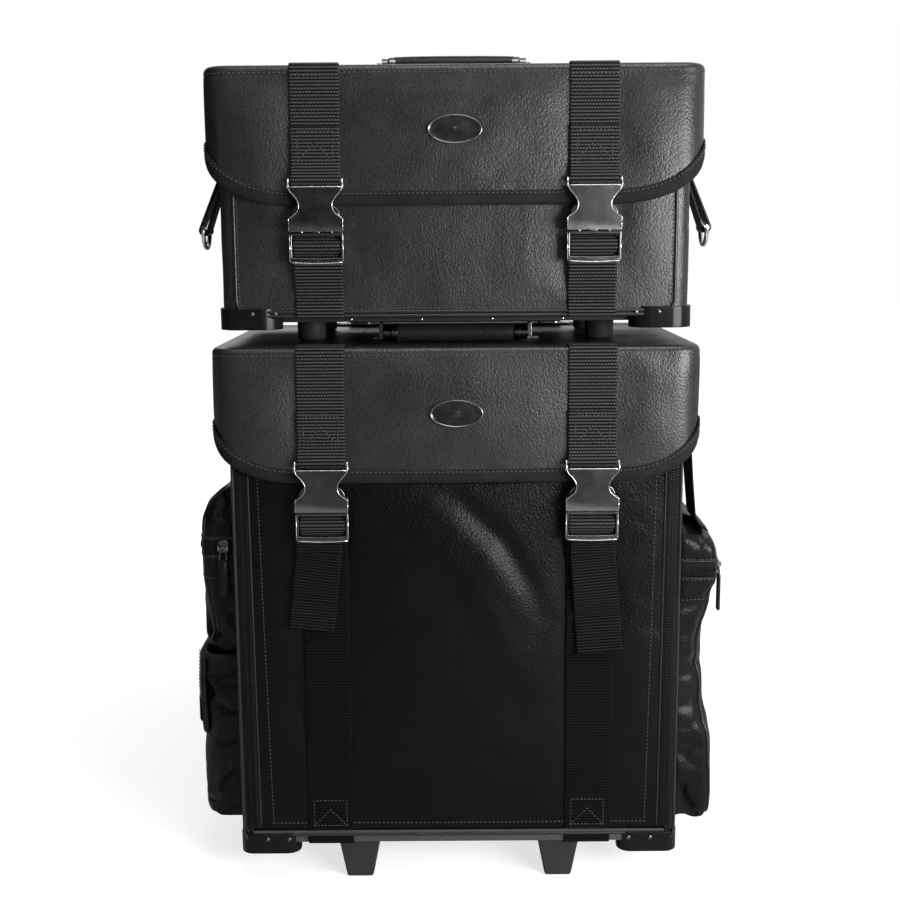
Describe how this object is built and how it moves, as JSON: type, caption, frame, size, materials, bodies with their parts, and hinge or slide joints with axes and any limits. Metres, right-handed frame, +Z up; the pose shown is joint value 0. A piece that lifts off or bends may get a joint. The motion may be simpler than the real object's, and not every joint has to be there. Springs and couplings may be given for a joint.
{
  "type": "rolling makeup case",
  "caption": "Soft-sided two-tier rolling case with flap lids, webbing straps with side-release buckles, a zip-down front panel, side pockets, rear wheels and a telescopic handle.",
  "frame": {"origin": "bottom centre of the object's bounding box, on the floor", "axes": "+Z up, the front with the buckles faces -Y, +X to the right seen from the front"},
  "size_m": [0.4448, 0.2682, 0.6783],
  "materials": {
    "leather": "satin",
    "lining_board": "matt",
    "webbing": "matt",
    "black_plastic": "matt",
    "grey_plastic": "matt",
    "gunmetal": "polished",
    "bright_metal": "polished",
    "tube_aluminium": "satin",
    "tyre": "matt"
  },
  "bodies": {
    "lower_case": {"lower_shell": "leather", "front_header": "leather", "back_cover": "leather", "handle_bezel": "black_plastic", "handle_base_bracket": "black_plastic", "handle_outer_tubes": "tube_aluminium", "lower_shelf": "lining_board", "front_feet": "grey_plastic", "lower_corner_guards": "black_plastic", "lower_strap_stubs": "webbing", "wheel_housings": "black_plastic", "wheel_axles": "bright_metal", "right_pocket": "leather", "left_zip_pocket": "leather", "left_flap_pocket": "leather", "side_strap": "webbing"},
    "wheel_left": {"wheel_left_hub": "grey_plastic", "wheel_left_tyre": "tyre"},
    "wheel_right": {"wheel_right_hub": "grey_plastic", "wheel_right_tyre": "tyre"},
    "handle_stage_1": {"handle_stage_1_tubes": "tube_aluminium"},
    "handle_stage_2": {"handle_stage_2_tubes": "tube_aluminium", "handle_grip": "black_plastic"},
    "handle_button": {"handle_button": "grey_plastic"},
    "lower_lid": {"lower_lid": "leather", "lower_lid_straps": "webbing", "lower_buckle_sockets": "gunmetal", "lower_badge": "gunmetal", "lower_carry_mounts": "bright_metal"},
    "lower_carry_handle": {"lower_carry_handle": "leather"},
    "front_panel": {"front_panel": "leather", "panel_straps": "webbing", "strap_tail_left": "webbing", "strap_tail_right": "webbing"},
    "lower_tongue_left": {"lower_tongue_left": "gunmetal"},
    "lower_tongue_right": {"lower_tongue_right": "gunmetal"},
    "upper_case": {"upper_shell": "leather", "upper_base_board": "black_plastic", "upper_feet": "black_plastic", "upper_corner_guards": "black_plastic", "upper_front_straps": "webbing", "upper_tray": "lining_board", "d_ring_tabs": "leather"},
    "upper_lid": {"upper_lid": "leather", "upper_lid_straps": "webbing", "upper_buckle_sockets": "gunmetal", "upper_badge": "gunmetal", "upper_carry_mounts": "bright_metal"},
    "upper_carry_handle": {"upper_carry_handle": "leather"},
    "upper_tongue_left": {"upper_tongue_left": "gunmetal"},
    "upper_tongue_right": {"upper_tongue_right": "gunmetal"},
    "d_ring_left": {"d_ring_left": "bright_metal"},
    "d_ring_right": {"d_ring_right": "bright_metal"},
    "front_zip_slider_left": {"front_zip_slider_left": "gunmetal"},
    "front_zip_slider_right": {"front_zip_slider_right": "gunmetal"},
    "pocket_zip_slider_right": {"pocket_zip_slider_right": "bright_metal"},
    "pocket_zip_pull_right": {"pocket_zip_pull_right": "gunmetal"},
    "pocket_zip_slider_left": {"pocket_zip_slider_left": "bright_metal"},
    "pocket_zip_pull_left": {"pocket_zip_pull_left": "gunmetal"},
    "left_pocket_flap": {"left_pocket_flap": "leather"}
  },
  "joints": [
    {"name": "wheel_left_spin", "type": "hinge", "parent": "lower_case", "child": "wheel_left", "pos_m": [-0.152, 0.10315, 0.031], "axis": [1, 0, 0], "continuous": true},
    {"name": "wheel_right_spin", "type": "hinge", "parent": "lower_case", "child": "wheel_right", "pos_m": [0.152, 0.10315, 0.031], "axis": [1, 0, 0], "continuous": true},
    {"name": "handle_stage_1_slide", "type": "slide", "parent": "lower_case", "child": "handle_stage_1", "axis": [0, 0, 1], "range_m": [0, 0.28]},
    {"name": "handle_stage_2_slide", "type": "slide", "parent": "handle_stage_1", "child": "handle_stage_2", "axis": [0, 0, 1], "range_m": [0, 0.27]},
    {"name": "handle_button_press", "type": "slide", "parent": "handle_stage_2", "child": "handle_button", "axis": [0, 0, -1], "range_m": [0, 0.004], "stiffness_N_per_m": 400, "springref_m": -0.002},
    {"name": "upper_case_lift", "type": "slide", "parent": "lower_case", "child": "upper_case", "axis": [0, 0, 1], "range_m": [0, 0.45]},
    {"name": "upper_lid_hinge", "type": "hinge", "parent": "upper_case", "child": "upper_lid", "pos_m": [0, 0.09515, 0.664], "axis": [-1, 0, 0], "range_deg": [0, 90]},
    {"name": "upper_carry_handle_hinge", "type": "hinge", "parent": "upper_lid", "child": "upper_carry_handle", "pos_m": [0, -0.00685, 0.6713], "axis": [-1, 0, 0], "range_deg": [0, 100]},
    {"name": "lower_lid_hinge", "type": "hinge", "parent": "lower_case", "child": "lower_lid", "pos_m": [0, 0.09515, 0.449], "axis": [-1, 0, 0], "range_deg": [0, 90]},
    {"name": "lower_carry_handle_hinge", "type": "hinge", "parent": "lower_lid", "child": "lower_carry_handle", "pos_m": [0, -0.03785, 0.4563], "axis": [-1, 0, 0], "range_deg": [0, 90]},
    {"name": "front_panel_hinge", "type": "hinge", "parent": "lower_case", "child": "front_panel", "pos_m": [0, -0.11585, 0.043], "axis": [1, 0, 0], "range_deg": [0, 90]},
    {"name": "lower_tongue_left_release", "type": "slide", "parent": "front_panel", "child": "lower_tongue_left", "axis": [0, 0, -1], "range_m": [0, 0.019]},
    {"name": "lower_tongue_right_release", "type": "slide", "parent": "front_panel", "child": "lower_tongue_right", "axis": [0, 0, -1], "range_m": [0, 0.019]},
    {"name": "upper_tongue_left_release", "type": "slide", "parent": "upper_case", "child": "upper_tongue_left", "axis": [0, 0, -1], "range_m": [0, 0.019]},
    {"name": "upper_tongue_right_release", "type": "slide", "parent": "upper_case", "child": "upper_tongue_right", "axis": [0, 0, -1], "range_m": [0, 0.019]},
    {"name": "d_ring_left_swing", "type": "hinge", "parent": "upper_case", "child": "d_ring_left", "pos_m": [-0.2015, -0.06885, 0.54], "axis": [0, 1, 0], "range_deg": [0, 100]},
    {"name": "d_ring_right_swing", "type": "hinge", "parent": "upper_case", "child": "d_ring_right", "pos_m": [0.2015, -0.06885, 0.54], "axis": [0, -1, 0], "range_deg": [0, 100]},
    {"name": "front_zip_left_slide", "type": "slide", "parent": "lower_case", "child": "front_zip_slider_left", "axis": [0, 0, -1], "range_m": [0, 0.306]},
    {"name": "front_zip_right_slide", "type": "slide", "parent": "lower_case", "child": "front_zip_slider_right", "axis": [0, 0, -1], "range_m": [0, 0.306]},
    {"name": "pocket_zip_right_slide", "type": "slide", "parent": "lower_case", "child": "pocket_zip_slider_right", "axis": [0, 1, 0], "range_m": [0, 0.124]},
    {"name": "pocket_zip_pull_right_swing", "type": "hinge", "parent": "pocket_zip_slider_right", "child": "pocket_zip_pull_right", "pos_m": [0.2209, -0.07285, 0.261], "axis": [0, -1, 0], "range_deg": [0, 90]},
    {"name": "pocket_zip_left_slide", "type": "slide", "parent": "lower_case", "child": "pocket_zip_slider_left", "axis": [-1, 0, 0], "range_m": [0, 0.014]},
    {"name": "pocket_zip_pull_left_swing", "type": "hinge", "parent": "pocket_zip_slider_left", "child": "pocket_zip_pull_left", "pos_m": [-0.192, -0.10075, 0.283], "axis": [-1, 0, 0], "range_deg": [0, 90]},
    {"name": "left_pocket_flap_hinge", "type": "hinge", "parent": "lower_case", "child": "left_pocket_flap", "pos_m": [-0.2173, 0, 0.189], "axis": [0, 1, 0], "range_deg": [0, 90]}
  ],
  "couplings": [
    {"joint": "lower_lid_hinge", "follows": "upper_case_lift", "rad_per_m": 3.49},
    {"joint": "lower_carry_handle_hinge", "follows": "upper_case_lift", "rad_per_m": 3.49}
  ]
}
